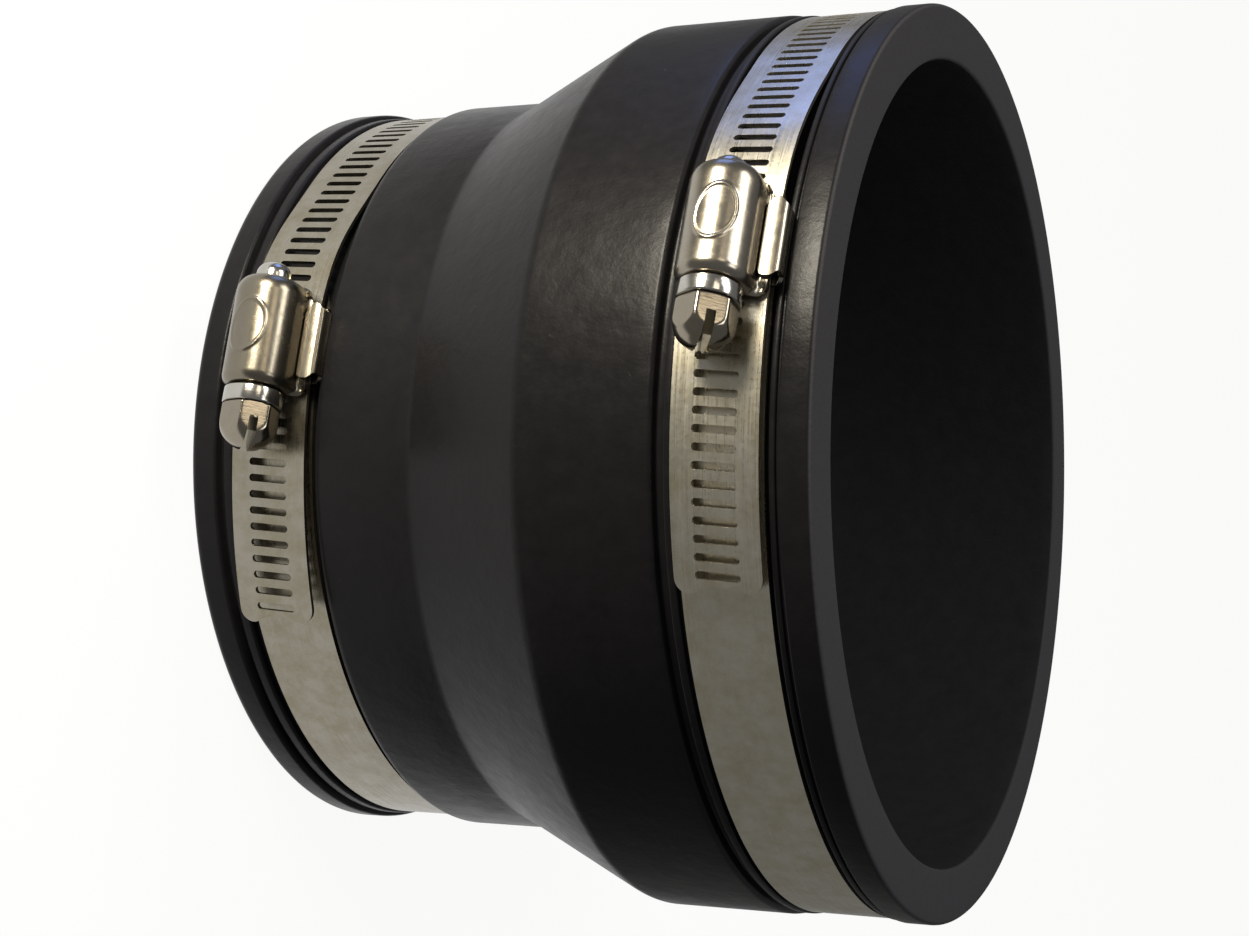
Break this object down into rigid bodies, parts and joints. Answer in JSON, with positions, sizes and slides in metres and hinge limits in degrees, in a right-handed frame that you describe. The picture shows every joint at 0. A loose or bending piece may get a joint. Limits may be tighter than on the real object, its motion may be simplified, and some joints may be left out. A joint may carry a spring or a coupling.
{
  "type": "flexible reducing pipe coupling",
  "caption": "Flexible rubber reducing coupling that joins two drain pipes of different diameter, with a slotted steel worm-drive band clamp around each end.",
  "frame": {"origin": "centre of the bounding box at its lowest level, the small end's face; the coupling's own axis stands 4.9 mm to the -X side of it, because the clamp heads stand out on the +X side", "axes": "+Z along the bore from the small end to the large end; +X to the side where both clamp heads are"},
  "size_m": [0.1608, 0.151, 0.109],
  "materials": {
    "rubber": "moulded black rubber, satin outside, matt end faces",
    "band_steel": "satin rolled stainless strip",
    "pressed_steel": "tumbled pressed stainless",
    "screw_steel": "bright plated"
  },
  "bodies": {
    "coupling": {"rubber_body": "rubber", "large_band": "band_steel", "large_saddle": "pressed_steel", "large_housing": "pressed_steel", "small_band": "band_steel", "small_saddle": "pressed_steel", "small_housing": "pressed_steel"},
    "large_screw": {"large_screw": "screw_steel"},
    "small_screw": {"small_screw": "screw_steel"}
  },
  "joints": [
    {"name": "large_screw_turn", "type": "hinge", "parent": "coupling", "child": "large_screw", "pos_m": [0.06951, -0.03266, 0.0955], "axis": [0.4019, 0.9157, 0], "continuous": true},
    {"name": "small_screw_turn", "type": "hinge", "parent": "coupling", "child": "small_screw", "pos_m": [0.06157, -0.02032, 0.0156], "axis": [0.2924, 0.9563, 0], "continuous": true}
  ]
}
